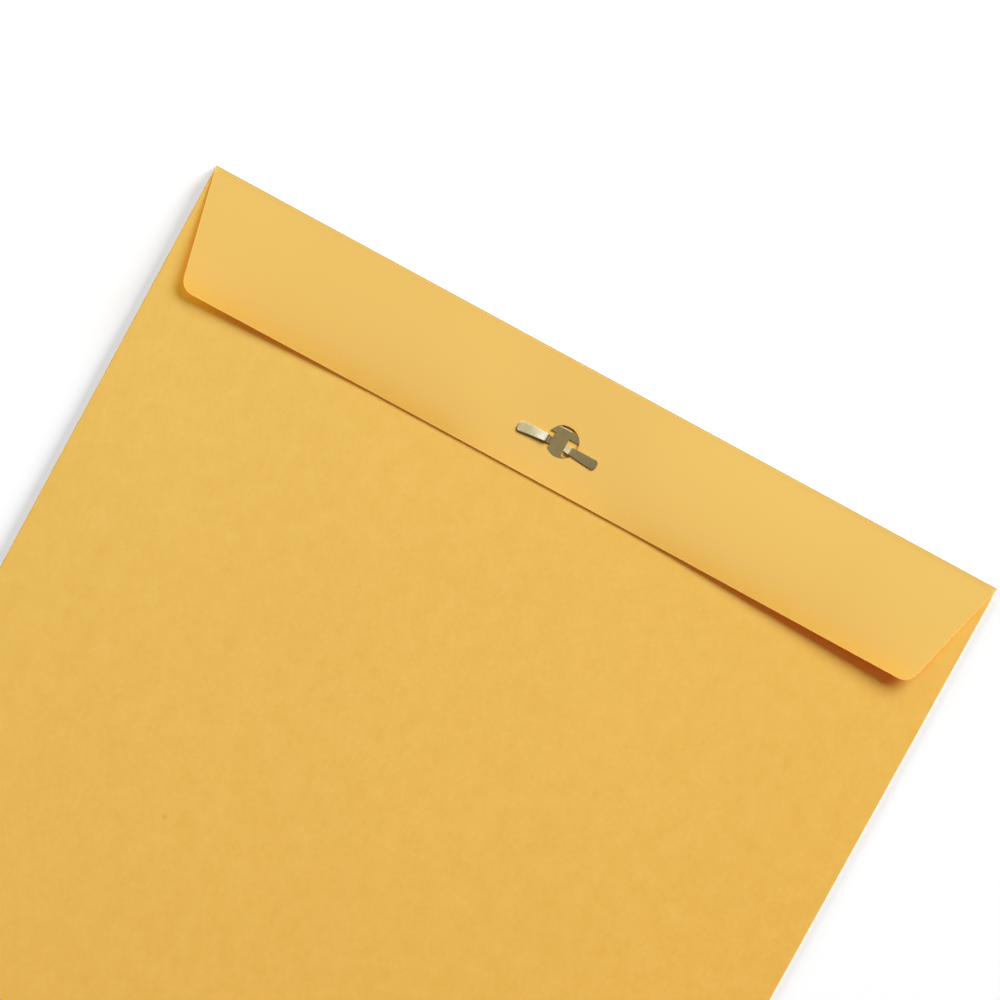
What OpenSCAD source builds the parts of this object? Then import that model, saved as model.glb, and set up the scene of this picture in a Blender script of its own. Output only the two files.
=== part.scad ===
// Open-end clasp envelope of plain kraft paper, lying closed with its flap side up.
// It is two pieces: one folded and glued paper sheet, and one stamped clasp of tinned steel.
// X runs along the top fold, Y runs up to the top fold, and Z = 0 is the table.

/* [Paper] */
// Thickness of the kraft paper
paper_t = 0.15; // [0.1:0.01:0.3]
// Clear height of the relaxed pocket between the front and the back
pocket_gap = 0.6; // [0.5:0.1:3]

/* [Body] */
// Width across the side folds
body_w = 228.6; // [150:0.1:320]
// Length from the bottom fold to the top fold
body_l = 304.8; // [200:0.1:400]
// Distance from the top fold down to the mouth edge of the back
mouth_setback = 3; // [2.5:0.1:8]
// How far the sheet is narrower on each side at its top and bottom folds
corner_inset = 0.1; // [0.05:0.05:2]

/* [Centre seam] */
// Place of the seam's cut edge, left of the middle
seam_edge = 9.6; // [6:0.1:12]
// Width of the glued overlap under the seam
seam_overlap = 19; // [16:0.5:30]
// Width of the step where the lower layer dips under the upper one
seam_step = 0.4; // [0.3:0.1:3]

/* [Bottom flap] */
// Depth of the glued bottom flap
bottom_depth = 28; // [15:0.5:45]
// Side taper of the bottom flap, in degrees
bottom_taper = 18; // [5:1:35]
// Radius of its two corners
bottom_corner_r = 4; // [1:0.5:8]

/* [Top flap] */
// Depth from the top fold to the free edge
flap_depth = 32.2; // [29:0.1:60]
// Side taper at the left end, in degrees
left_taper = 12.3; // [4:0.1:25]
// Side taper at the right end, in degrees
right_taper = 14.8; // [4:0.1:25]
// Radius of its two corners
flap_corner_r = 4; // [1:0.1:8]
// Clearance between the flap and the back at the top fold
flap_clear = 0.05; // [0.02:0.01:0.3]
// Clearance between the flap and the upper edge of the clasp's plate
flap_seat = 0.03; // [0.02:0.01:0.2]
// How far the springy paper bellies up between the fold and the free edge
flap_belly = 0.5; // [0.2:0.05:3]
// How late the belly bends down to the free edge: 2 is an even arch, 5 a late bend
belly_power = 3; // [2:0.5:5]
// Half width of the stretch that the clasp holds down
held_w = 20; // [15:0.5:40]
// Gap under the free edge below the clasp
edge_gap = 0.35; // [0.3:0.01:1]
// Gap under the free edge at the left corner
left_lift = 2.1; // [0.4:0.05:5]
// Gap under the free edge at the right corner
right_lift = 3.1; // [0.4:0.05:5]
// Distance left of the clasp at which the free edge starts to rise
left_rise_from = 47; // [20:1:70]
// Distance right of the clasp at which the free edge starts to rise
right_rise_from = 25; // [20:1:70]

/* [Clasp hole] */
// Diameter of the hole in the flap
hole_d = 8.7; // [7.5:0.1:9.5]
// Distance of the hole's centre from the top fold
hole_from_fold = 20.1; // [19.8:0.1:20.6]
// Place of the hole's centre, right of the clasp's centre
hole_shift = 0.7; // [0:0.1:1]

/* [Clasp plate] */
// Thickness of the tinned sheet
clasp_t = 0.25; // [0.15:0.01:0.4]
// Place of the clasp's centre, left of the middle
clasp_left = 2.9; // [0:0.1:5]
// Distance of the clasp's centre from the top fold
clasp_from_fold = 21.1; // [20.6:0.1:21.5]
// Width of the plate's two lobes
lobe_w = 10.5; // [9:0.1:12]
// Height of each lobe
lobe_h = 1.8; // [1.2:0.1:2.2]
// Radius of the lobes' corners
lobe_r = 0.7; // [0.2:0.1:0.9]
// Height of the plate between the bends of its two tangs
plate_h = 8.4; // [7.6:0.1:9]
// Width of the web between the notches
web_w = 3.9; // [3:0.1:5]
// Radius in the inner corners of the notches
notch_r = 0.35; // [0.1:0.05:0.5]

/* [Clasp tangs] */
// Width of each tang
tang_w = 4.1; // [2:0.1:6]
// Outer radius of the bend from the plate down into each tang
tang_r = 0.65; // [0.6:0.05:0.8]
// Length of a tang's clinched foot inside the pocket
foot_l = 2.6; // [1:0.1:3.4]
// Clearance round each tang in its slit
slit_clear = 0.1; // [0.05:0.01:0.3]

/* [Clasp prongs] */
// Reach of each prong from the clasp's centre
prong_reach = 11.4; // [8:0.1:14]
// Width of a prong at its root
root_w = 1.85; // [1.2:0.05:2.4]
// Width of a prong at its tip
tip_w = 2.75; // [1.6:0.05:3.4]
// Radius of the tips' corners
tip_r = 1; // [0.3:0.05:1.1]
// Distance from the clasp's centre to the crest of the left prong's fold
left_crest = 3.75; // [3.3:0.05:4.2]
// Distance from the clasp's centre to the crest of the right prong's fold
right_crest = 3.45; // [3.1:0.05:4.2]
// Gap between the left prong and the flap at the fold's crest
left_prong_gap = 0.1; // [0.03:0.01:0.5]
// Gap between the left prong's tip and the flap
left_tip_gap = 0.1; // [0.03:0.01:1]
// Gap between the right prong and the flap
right_prong_gap = 0.05; // [0.03:0.01:0.5]
// How far the left prong's crest sits towards the top fold
left_crest_shift = 0.25; // [-0.5:0.05:0.5]
// How far the left prong's tip sits towards the free edge
left_tip_drop = 0.45; // [-1:0.05:1]
// How far the right prong's tip sits towards the free edge
right_tip_drop = 0.4; // [-1:0.05:1]

/* [Hidden] */

$fn = 64;
cut = 1;

kraft = [0.92, 0.73, 0.37];
tinned_steel = [0.58, 0.55, 0.45];

// Heights of the folded body
back_z = 2 * paper_t + pocket_gap;
top_fold_r = (back_z + flap_clear + paper_t) / 2;
bottom_fold_r = (back_z + paper_t) / 2;

// Stations along Y
top_y = body_l / 2;
top_fold_y = top_y - top_fold_r;
mouth_y = top_y - mouth_setback;
bottom_y = -body_l / 2;
bottom_fold_y = bottom_y + bottom_fold_r;
sleeve_y = bottom_fold_y + paper_t;
fold_w = body_w - 2 * corner_inset;

// The clasp and its hole
clasp_x = -clasp_left;
clasp_y = top_y - clasp_from_fold;
hole_x = clasp_x + hole_shift;
hole_y = top_y - hole_from_fold;
tang_bend_z = clasp_t - tang_r;
foot_z = -2 * paper_t - clasp_t;

// The flap's plain depth below the round fold, and its grid
flap_run = flap_depth - top_fold_r;
flap_columns = 56;
flap_rows = 12;
corner_rows = 7;
// The belly's curve q(1 - q^power) peaks at this height
belly_peak = belly_power / (belly_power + 1) * pow(1 / (belly_power + 1), 1 / belly_power);
// How sharply the belly flattens out towards the flap's two sides
side_power = 6;
// The soft start of the rise towards each corner, as a share of its length
rise_ratio = 0.2;
// Rows of the flap as distances from the fold, closer together round the corners
straight_run = flap_run - flap_corner_r * (1 - sin(min(left_taper, right_taper)));
flap_stations = concat(
    [for (i = [0 : flap_rows - 1]) straight_run * i / flap_rows],
    [for (i = [0 : corner_rows]) straight_run + (flap_run - straight_run) * sin(90 * i / corner_rows)]
);

// Half width of a tapered flap at distance d from its fold, with round corners
function tapered_half(half_w, run, taper, r, d) =
    let (arc_x = half_w - (run - r) * tan(taper) - r / cos(taper))
    d <= run - r + r * sin(taper)
        ? half_w - d * tan(taper)
        : arc_x + sqrt(max(0, r * r - pow(d - run + r, 2)));

// Share of a corner's lift that the free edge has at a distance past the start of the rise
function rise_share(past, length) =
    let (q = past / length)
    q <= 0 ? 0 : q * q * (1 + rise_ratio) / (q + rise_ratio);

// Gap under the free edge at x
function edge_lift(x) =
    x < clasp_x
        ? edge_gap + (left_lift - edge_gap)
            * rise_share(clasp_x - x - left_rise_from, clasp_x + fold_w / 2 - left_rise_from)
        : edge_gap + (right_lift - edge_gap)
            * rise_share(x - clasp_x - right_rise_from, fold_w / 2 - clasp_x - right_rise_from);

// The belly that clears the plate's upper edge where the clasp holds the flap down
plate_q = (clasp_from_fold - plate_h / 2 - tang_r - top_fold_r) / flap_run;
held_belly = (clasp_t + flap_seat - flap_clear - (edge_gap - flap_clear) * plate_q)
    / (plate_q * (1 - pow(plate_q, belly_power)));
free_belly = flap_belly / belly_peak;

// Height of the flap's underside above the back, at x and distance d from the fold
function flap_under(x, d) =
    let (
        q = d / flap_run,
        free = 1 - exp(-pow((x - clasp_x) / held_w, 4)),
        inner = 1 - pow(abs(x) / (fold_w / 2), side_power),
        belly = held_belly + (free_belly * inner - held_belly) * free
    )
    flap_clear + (edge_lift(x) - flap_clear) * q + belly * q * (1 - pow(q, belly_power));

// Height of the flap's top above the back, at a place in the plan
function flap_top(x, y) = flap_under(x, top_fold_y - y) + paper_t;

// A section in X and Z drawn out along Y, and one in Y and Z drawn out along X
module along_y(y0, y1) {
    translate([0, y1, 0]) rotate([90, 0, 0]) linear_extrude(y1 - y0) children();
}

module along_x(x0, x1) {
    translate([x0, 0, 0]) rotate([90, 0, 90]) linear_extrude(x1 - x0) children();
}

module round_ended_bar(w, h) {
    translate([-(w - h) / 2, 0]) square([w - h, h]);
    for (side = [-1, 1])
        translate([side * (w - h) / 2, h / 2]) circle(r = h / 2);
}

// The closed sleeve: front, two side folds and the two back panels, which meet in the glued seam
module sleeve_section() {
    difference() {
        round_ended_bar(body_w, back_z);
        translate([0, paper_t]) round_ended_bar(body_w - 2 * paper_t, pocket_gap);
        // The left panel dips here, beside the cut edge of the right one
        polygon([
            [-seam_edge - seam_step, back_z],
            [-seam_edge - seam_step, back_z + cut],
            [-seam_edge, back_z + cut],
            [-seam_edge, back_z - paper_t]
        ]);
    }
    // The left panel's end, glued under the right panel
    polygon([
        [-seam_edge - seam_step, back_z - paper_t],
        [-seam_edge, back_z - 2 * paper_t],
        [-seam_edge + seam_overlap, back_z - 2 * paper_t],
        [-seam_edge + seam_overlap, back_z - paper_t]
    ]);
}

// Half of a paper ring, in Y and Z, for a fold that turns the sheet back over itself
module fold_section(outer_r, towards) {
    difference() {
        circle(r = outer_r);
        circle(r = outer_r - paper_t);
        translate([towards > 0 ? -outer_r - cut : 0, -outer_r - cut])
            square([outer_r + cut, 2 * (outer_r + cut)]);
    }
}

// The plan of a flap with tapered sides and round corners, from its fold at y = 0 to run
module bottom_flap_plan(run) {
    steps = 12;
    turn = (90 - bottom_taper) / steps;
    bend = [for (i = [0 : steps]) run - bottom_corner_r * (1 - sin(bottom_taper + turn * i))];
    side = [
        for (d = concat([0], bend))
            [tapered_half(fold_w / 2, run, bottom_taper, bottom_corner_r, d), d]
    ];
    polygon(concat(side, [for (i = [len(side) - 1 : -1 : 0]) [-side[i][0], side[i][1]]]));
}

// The springy top flap: a thin curved sheet, held down at the clasp and rising to both corners
module top_flap() {
    rows = len(flap_stations);
    columns = flap_columns + 1;
    top_points = [
        for (d = flap_stations)
            let (
                left = -tapered_half(fold_w / 2, flap_run, left_taper, flap_corner_r, d),
                right = tapered_half(fold_w / 2, flap_run, right_taper, flap_corner_r, d)
            )
            for (c = [0 : flap_columns])
                let (x = left + (right - left) * c / flap_columns)
                [x, top_fold_y - d, back_z + flap_under(x, d) + paper_t]
    ];
    under_points = [for (p = top_points) p - [0, 0, paper_t]];
    under = len(top_points);
    // Corners of the grid's rim in order: fold, right side, free edge and left side
    rim = concat(
        [for (c = [0 : flap_columns - 1]) c],
        [for (r = [0 : rows - 2]) r * columns + flap_columns],
        [for (c = [flap_columns : -1 : 1]) (rows - 1) * columns + c],
        [for (r = [rows - 1 : -1 : 1]) r * columns]
    );
    top_faces = [
        for (r = [0 : rows - 2], c = [0 : flap_columns - 1])
            let (a = r * columns + c, b = a + columns)
            each [[a, a + 1, b + 1], [a, b + 1, b]]
    ];
    under_faces = [for (f = top_faces) [f[0] + under, f[2] + under, f[1] + under]];
    rim_faces = [
        for (i = [0 : len(rim) - 1])
            let (a = rim[i], b = rim[(i + 1) % len(rim)])
            each [[a, under + a, b], [b, under + a, under + b]]
    ];
    polyhedron(
        points = concat(top_points, under_points),
        faces = concat(top_faces, under_faces, rim_faces)
    );
}

// Slits in both layers of the back, where the clasp's tangs go through
module tang_slits() {
    for (side = [0, 1])
        translate([clasp_x, clasp_y, back_z - 3 * paper_t])
            mirror([0, side, 0])
                translate([-tang_w / 2 - slit_clear, plate_h / 2 - slit_clear, 0])
                    cube([tang_w + 2 * slit_clear, tang_r + 2 * slit_clear, 3 * paper_t + cut]);
}

module envelope() {
    color(kraft) {
        difference() {
            along_y(sleeve_y, mouth_y) sleeve_section();
            tang_slits();
        }
        // The front sheet past the mouth and past the sleeve's lower end
        translate([-fold_w / 2, mouth_y, 0]) cube([fold_w, top_fold_y - mouth_y, paper_t]);
        translate([-fold_w / 2, bottom_fold_y, 0]) cube([fold_w, sleeve_y - bottom_fold_y, paper_t]);
        // Top and bottom folds
        translate([0, top_fold_y, top_fold_r]) along_x(-fold_w / 2, fold_w / 2) fold_section(top_fold_r, 1);
        translate([0, bottom_fold_y, bottom_fold_r])
            along_x(-fold_w / 2, fold_w / 2) fold_section(bottom_fold_r, -1);
        // The bottom flap, glued down on the back
        translate([0, bottom_fold_y, back_z])
            linear_extrude(paper_t) bottom_flap_plan(bottom_depth - bottom_fold_r);
        difference() {
            top_flap();
            translate([hole_x, hole_y, back_z]) cylinder(d = hole_d, h = flap_belly + edge_gap + cut);
        }
    }
}

module rounded_bar(w, h, r) {
    translate([-w / 2 + r, -h / 2]) square([w - 2 * r, h]);
    translate([-w / 2, -h / 2 + r]) square([w, h - 2 * r]);
    for (sx = [-1, 1], sy = [-1, 1])
        translate([sx * (w / 2 - r), sy * (h / 2 - r)]) circle(r = r);
}

// The flat plate: two lobes joined by a web, with notches that free the prongs
module plate_plan() {
    for (side = [-1, 1])
        translate([0, side * (plate_h - lobe_h) / 2]) rounded_bar(lobe_w, lobe_h, lobe_r);
    square([web_w, plate_h - lobe_h], center = true);
    // Fillets where the web meets the lobes
    for (sx = [0, 1], sy = [0, 1])
        mirror([sx, 0]) mirror([0, sy])
            translate([web_w / 2, plate_h / 2 - lobe_h - notch_r])
                difference() {
                    square(notch_r);
                    translate([notch_r, 0]) circle(r = notch_r);
                }
}

// A tang bends down from the plate through the back, and is clinched flat under it, seen in Y and Z
module tang_section() {
    translate([plate_h / 2, tang_bend_z])
        intersection() {
            difference() {
                circle(r = tang_r);
                circle(r = tang_r - clasp_t);
            }
            translate([0, foot_z - tang_bend_z]) square([tang_r, clasp_t - foot_z]);
        }
    translate([plate_h / 2 - foot_l, foot_z]) square([foot_l + tang_r - clasp_t, clasp_t]);
}

// A prong from above: narrow at the root, wider to a rounded tip
module prong_plan(crest, crest_shift, tip_shift) {
    steps = 8;
    crest_half = root_w / 2 + (tip_w - root_w) / 2 * crest / prong_reach;
    tip_y = tip_w / 2 - tip_r;
    tip_x = prong_reach - tip_r;
    upper = [
        for (i = [0 : steps])
            let (a = 90 - 90 * i / steps) [tip_x + tip_r * cos(a), tip_shift + tip_y + tip_r * sin(a)]
    ];
    lower = [
        for (i = [0 : steps])
            let (a = -90 * i / steps) [tip_x + tip_r * cos(a), tip_shift - tip_y + tip_r * sin(a)]
    ];
    polygon(concat(
        [[0, -root_w / 2], [0, root_w / 2], [web_w / 2, root_w / 2], [crest, crest_shift + crest_half]],
        upper,
        lower,
        [[crest, crest_shift - crest_half], [web_w / 2, -root_w / 2]]
    ));
}

// The climb of a prong as a share of its height, from 0 at the web to 1 at the crest
function climb_share(q) = q * q * (3 - 2 * q);

// A prong from the side: it climbs from the plate through the hole and lies over the flap
module prong_side(crest, crest_z, tip_z) {
    steps = 14;
    foot = web_w / 2;
    climb = [
        for (i = [0 : steps])
            let (q = i / steps) [foot + (crest - foot) * q, crest_z * climb_share(q)]
    ];
    // Each point's thickness is measured square to the climb there
    thick = [
        for (i = [0 : steps])
            let (q = i / steps, slope = crest_z * 6 * q * (1 - q) / (crest - foot))
            clasp_t * sqrt(1 + slope * slope)
    ];
    polygon(concat(
        [[0, 0]],
        climb,
        [[prong_reach + cut, tip_z], [prong_reach + cut, tip_z + clasp_t]],
        [for (i = [steps : -1 : 0]) climb[i] + [0, thick[i]]],
        [[0, clasp_t]]
    ));
}

module prong(crest, crest_z, tip_z, crest_shift, tip_shift) {
    intersection() {
        linear_extrude(crest_z + tip_z + clasp_t) prong_plan(crest, crest_shift, tip_shift);
        translate([0, tip_w, 0])
            rotate([90, 0, 0]) linear_extrude(2 * tip_w) prong_side(crest, crest_z, tip_z);
    }
}

// Distance from the clasp's centre to the hole's rim beside a prong: side is -1 left and 1 right
function rim_reach(side) =
    sqrt(pow(hole_d / 2, 2) - pow(hole_y - clasp_y + tip_w / 2, 2)) + side * hole_shift;

// Height of a prong's crest, so that its underside clears the flap by gap at the hole's rim
function crest_height(side, crest, gap) =
    let (
        foot = web_w / 2,
        q = min(1, (rim_reach(side) - foot) / (crest - foot)),
        flap_z = flap_top(clasp_x + side * rim_reach(side), clasp_y)
    )
    (flap_z + gap) / climb_share(q);

// Height of the flap under a prong's tip, at the corner where the flap is higher
function tip_height(side) = flap_top(clasp_x + side * prong_reach, clasp_y + tip_w / 2);

module clasp() {
    color(tinned_steel)
        translate([clasp_x, clasp_y, back_z]) {
            linear_extrude(clasp_t) plate_plan();
            for (side = [0, 1])
                mirror([0, side, 0]) along_x(-tang_w / 2, tang_w / 2) tang_section();
            mirror([1, 0, 0])
                prong(
                    left_crest, crest_height(-1, left_crest, left_prong_gap),
                    tip_height(-1) + left_tip_gap, left_crest_shift, -left_tip_drop
                );
            prong(
                right_crest, crest_height(1, right_crest, right_prong_gap),
                tip_height(1) + right_prong_gap, 0, -right_tip_drop
            );
        }
}

envelope();
clasp();
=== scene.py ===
"""A kraft clasp envelope that lies closed on a white table, flap side up, seen from straight above."""

import math

import bmesh
import bpy
from mathutils import Euler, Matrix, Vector


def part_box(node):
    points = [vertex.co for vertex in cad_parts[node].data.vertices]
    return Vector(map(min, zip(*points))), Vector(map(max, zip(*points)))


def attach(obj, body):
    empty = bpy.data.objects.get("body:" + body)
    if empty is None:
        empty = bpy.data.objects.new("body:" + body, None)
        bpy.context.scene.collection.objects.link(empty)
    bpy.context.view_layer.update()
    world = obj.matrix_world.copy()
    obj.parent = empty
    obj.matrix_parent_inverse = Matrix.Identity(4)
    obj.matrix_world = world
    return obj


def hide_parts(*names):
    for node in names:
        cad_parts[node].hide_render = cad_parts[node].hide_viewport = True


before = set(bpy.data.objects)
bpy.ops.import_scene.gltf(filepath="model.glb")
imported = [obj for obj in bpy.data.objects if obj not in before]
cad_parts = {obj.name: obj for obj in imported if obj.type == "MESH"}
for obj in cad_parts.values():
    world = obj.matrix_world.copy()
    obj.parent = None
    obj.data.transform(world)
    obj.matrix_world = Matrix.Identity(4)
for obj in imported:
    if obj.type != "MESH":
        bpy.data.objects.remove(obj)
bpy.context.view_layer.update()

MM = 0.001


def srgb(r, g, b):
    """A colour read as 0 to 255 on screen, as the linear colour that a shader wants."""
    def linear(v):
        v /= 255
        return v / 12.92 if v <= 0.04045 else ((v + 0.055) / 1.055) ** 2.4

    return (linear(r), linear(g), linear(b), 1)


# The sheet and its layers
envelope_low, envelope_high = (Vector(c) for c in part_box("envelope"))
BODY_W = envelope_high.x - envelope_low.x
BODY_L = 304.8 * MM
PAPER_T = 0.15 * MM
POCKET_GAP = 0.6 * MM
MOUTH_SETBACK = 3 * MM
CORNER_INSET = 0.1 * MM
SEAM_EDGE = -9.6 * MM
SEAM_OVERLAP = 19 * MM
SEAM_STEP = 0.005 * MM  # the two layers butt under the glue, so the groove hardly shows
SWELL = 0.05 * MM
HAIR = 0.01 * MM  # keeps glued layers from lying in exactly one plane

# The bottom flap and the top flap
BOTTOM_DEPTH = 28 * MM
BOTTOM_TAPER = 18
FLAP_DEPTH = 32.2 * MM
FLAP_TAPER = {"left": 12.3, "right": 14.8}
CORNER_R = 4 * MM
FLAP_CLEAR = 0.05 * MM
FLAP_SEAT = 0.03 * MM
FLAP_BELLY = 0.5 * MM
BELLY_POWER = 3
SIDE_POWER = 6
HELD_W = 20 * MM
EDGE_GAP = 0.28 * MM
CORNER_LIFT = {"left": 2.1 * MM, "right": 3.1 * MM}
RISE_FROM = {"left": 47 * MM, "right": 25 * MM}
RISE_RATIO = 0.2

# The hole, the slits and the clasp
HOLE_D = 8.7 * MM
HOLE_FROM_FOLD = 20.1 * MM
CLASP_X = -2.9 * MM
CLASP_FROM_FOLD = 21.1 * MM
HOLE_X = CLASP_X + 0.7 * MM
CLASP_T = 0.25 * MM
PLATE_H = 8.4 * MM
TANG_W = 4.1 * MM
TANG_R = 0.65 * MM
SLIT_CLEAR = 0.1 * MM
LOBE_W = 10.5 * MM
LOBE_H = 1.8 * MM
LOBE_R = 0.7 * MM
WEB_W = 3.9 * MM
NOTCH_R = 0.35 * MM
FOOT_L = 2.6 * MM
RIM_ROUND = 0.04 * MM
PRONG_REACH = 11.4 * MM
ROOT_W = 1.85 * MM
TIP_W = 2.75 * MM
TIP_R = 1 * MM
PRONGS = {
    "left": {
        "side": -1, "crest": 3.4 * MM, "climb_to": 3.75 * MM, "crest_gap": 0.1 * MM, "tip_gap": 0.1 * MM,
        "crest_shift": 0.25 * MM, "tip_shift": -0.45 * MM, "twist": 3,
    },
    "right": {
        "side": 1, "crest": 3.45 * MM, "climb_to": 3.45 * MM, "crest_gap": 0.05 * MM, "tip_gap": 0.05 * MM,
        "crest_shift": 0, "tip_shift": -0.4 * MM, "twist": -2,
    },
}

# Where the layers, the folds and the clasp come to lie
BACK_Z = 2 * PAPER_T + POCKET_GAP
SIDE_R = BACK_Z / 2
TOP_R = (BACK_Z + FLAP_CLEAR + PAPER_T) / 2
BOTTOM_R = (BACK_Z + PAPER_T) / 2
TOP_Y = BODY_L / 2
TOP_FOLD_Y = TOP_Y - TOP_R
MOUTH_Y = TOP_Y - MOUTH_SETBACK
BOTTOM_FOLD_Y = -BODY_L / 2 + BOTTOM_R
SLEEVE_Y = BOTTOM_FOLD_Y + PAPER_T
FOLD_W = BODY_W - 2 * CORNER_INSET
FLAP_RUN = FLAP_DEPTH - TOP_R
BOTTOM_RUN = BOTTOM_DEPTH - BOTTOM_R
CLASP_Y = TOP_Y - CLASP_FROM_FOLD


def photo_camera():
    """Looks down at a slight lean, turned so that the envelope hangs into the frame's lower left."""
    frame_width = 257.71 * MM
    centre = Vector((-9.17 * MM, 111.38 * MM, BACK_Z))
    height = 2.0
    pose = Euler([math.radians(a) for a in (-5.81, 1.34, 28.46)])
    data = bpy.data.cameras.new("photo_camera")
    data.sensor_width = 36
    data.lens = data.sensor_width * height / frame_width
    data.clip_end = 20
    camera = bpy.data.objects.new("photo_camera", data)
    camera.location = centre + pose.to_matrix() @ Vector((0, 0, height))
    camera.rotation_euler = pose
    bpy.context.collection.objects.link(camera)
    bpy.context.scene.camera = camera


def clear_selection():
    if bpy.context.mode != "OBJECT":
        bpy.ops.object.mode_set(mode="OBJECT")
    bpy.ops.object.select_all(action="DESELECT")


def pick(sheet, kind, where):
    """In edit mode, selects only the vertices, edges or faces that lie wholly where the test says."""
    bpy.ops.mesh.select_mode(type=kind)
    bpy.ops.mesh.select_all(action="DESELECT")
    mesh = bmesh.from_edit_mesh(sheet.data)
    parts = {"VERT": mesh.verts, "EDGE": mesh.edges, "FACE": mesh.faces}[kind]
    for part in parts:
        corners = [part] if kind == "VERT" else part.verts
        part.select_set(all(where(v.co) for v in corners))
    mesh.select_flush_mode()
    bmesh.update_edit_mesh(sheet.data)


CLOSE = 1e-6
TINY = 1e-7


def near(a, b, within=CLOSE):
    return abs(a - b) < within


def tapered_half(half_w, run, taper, d):
    """Half width of a tapered flap at distance d from its fold, with round corners."""
    slant = math.radians(taper)
    if d <= run - CORNER_R + CORNER_R * math.sin(slant):
        return half_w - d * math.tan(slant)
    arc_x = half_w - (run - CORNER_R) * math.tan(slant) - CORNER_R / math.cos(slant)
    return arc_x + math.sqrt(max(0, CORNER_R**2 - (d - run + CORNER_R) ** 2))


def flap_stations(run, rows, corner_rows, taper):
    """Distances from a flap's fold to its rows, closer together round the corners."""
    straight = run - CORNER_R * (1 - math.sin(math.radians(taper)))
    stations = [straight * i / rows for i in range(1, rows + 1)]
    for i in range(1, corner_rows + 1):
        stations.append(straight + (run - straight) * math.sin(math.pi / 2 * i / corner_rows))
    return stations


def rise_share(past, length):
    """Share of a corner's lift at a distance past the start of the rise."""
    q = past / length
    return 0 if q <= 0 else q * q * (1 + RISE_RATIO) / (q + RISE_RATIO)


def edge_lift(x):
    """Gap under the flap's free edge at x."""
    side = "left" if x < CLASP_X else "right"
    away = abs(x - CLASP_X)
    length = FOLD_W / 2 + (CLASP_X if side == "left" else -CLASP_X) - RISE_FROM[side]
    return EDGE_GAP + (CORNER_LIFT[side] - EDGE_GAP) * rise_share(away - RISE_FROM[side], length)


def flap_under(x, d):
    """Height of the flap's underside above the back, at x and distance d from the fold."""
    plate_q = (CLASP_FROM_FOLD - PLATE_H / 2 - TANG_R - TOP_R) / FLAP_RUN
    held = CLASP_T + FLAP_SEAT - FLAP_CLEAR - (EDGE_GAP - FLAP_CLEAR) * plate_q
    held /= plate_q * (1 - plate_q**BELLY_POWER)
    peak = BELLY_POWER / (BELLY_POWER + 1) * (1 / (BELLY_POWER + 1)) ** (1 / BELLY_POWER)
    free = FLAP_BELLY / peak * (1 - (abs(x) / (FOLD_W / 2)) ** SIDE_POWER)
    belly = held + (free - held) * (1 - math.exp(-(((x - CLASP_X) / HELD_W) ** 4)))
    q = d / FLAP_RUN
    return FLAP_CLEAR + (edge_lift(x) - FLAP_CLEAR) * q + belly * q * (1 - q**BELLY_POWER)


def panel_swell(x, y):
    """Slow unevenness of the back panels, none at the folds and under the clasp."""
    side = min(1, (BODY_W / 2 - SIDE_R - abs(x)) / (12 * MM))
    along = min(1, (y - SLEEVE_Y - BOTTOM_DEPTH) / (20 * MM), (MOUTH_Y - FLAP_DEPTH - y) / (14 * MM))
    calm = max(0, side) * max(0, along)
    wave = math.sin(x * 41 + y * 17 + 0.6)
    wave += 0.7 * math.sin(y * 55 - x * 23 + 2.1)
    wave += 0.5 * math.sin(x * 96 + y * 61)
    return SWELL * calm * wave


FRONT_COLUMNS = 110
FRONT_ROWS = 60
BACK_COLUMNS = 14
FLAP_ROWS = 30
BOTTOM_ROWS = 6
CORNER_ROWS = 9
FOLD_STEPS = 12
CREASE = 8  # 2 is a round fold, and a higher number a sharper one
SHOULDER = 0.05 * MM
EDGE_BAND = 0.35 * MM
PUNCH_DEPTH = 2 * MM
PUNCH_CLEAR = 0.08 * MM
SLIT_PUNCH_DEPTH = 4.4 * PAPER_T
PAPER_SMOOTH = math.radians(35)
METAL_SMOOTH = math.radians(40)


def front_panel():
    """The plain front, which lies on the table, as a fine grid that faces down."""
    clear_selection()
    bpy.ops.mesh.primitive_grid_add(x_subdivisions=FRONT_COLUMNS, y_subdivisions=FRONT_ROWS, size=1)
    sheet = bpy.context.object
    sheet.name = "kraft_envelope"
    sheet.data.name = "kraft_envelope"
    bpy.ops.object.mode_set(mode="EDIT")
    bpy.ops.mesh.select_all(action="SELECT")
    bpy.ops.transform.resize(value=(BODY_W - 2 * SIDE_R, MOUTH_Y - SLEEVE_Y, 1))
    bpy.ops.transform.translate(value=(0, (MOUTH_Y + SLEEVE_Y) / 2, 0))
    bpy.ops.mesh.flip_normals()
    return sheet


def turn_fold(centre, axis, angle=math.pi):
    """Rolls the selected edge round a fold. Spin turns against its axis by the right-hand rule."""
    bpy.ops.mesh.spin(steps=FOLD_STEPS, angle=-angle, center=centre, axis=axis)


def press_fold(sheet, where, across, centre, radius):
    """Presses a round fold flatter over most of its way, so that only its outermost edge turns down."""
    near_middle = 1e-4
    mesh = bmesh.from_edit_mesh(sheet.data)
    for v in mesh.verts:
        out, up = (v.co[across] - centre[0]) / radius, (v.co.z - centre[1]) / radius
        if where(v.co) and abs(out) > near_middle and abs(up) < 1 - CLOSE:
            v.co[across] = centre[0] + radius * math.copysign(abs(out) ** (2 / CREASE), out)
            v.co.z = centre[1] + radius * math.copysign(abs(up) ** (2 / CREASE), up)
    bmesh.update_edit_mesh(sheet.data)


def draw_out(step):
    """Extrudes the selected edge by a step."""
    bpy.ops.mesh.extrude_edges_move(TRANSFORM_OT_translate={"value": step})


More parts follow.
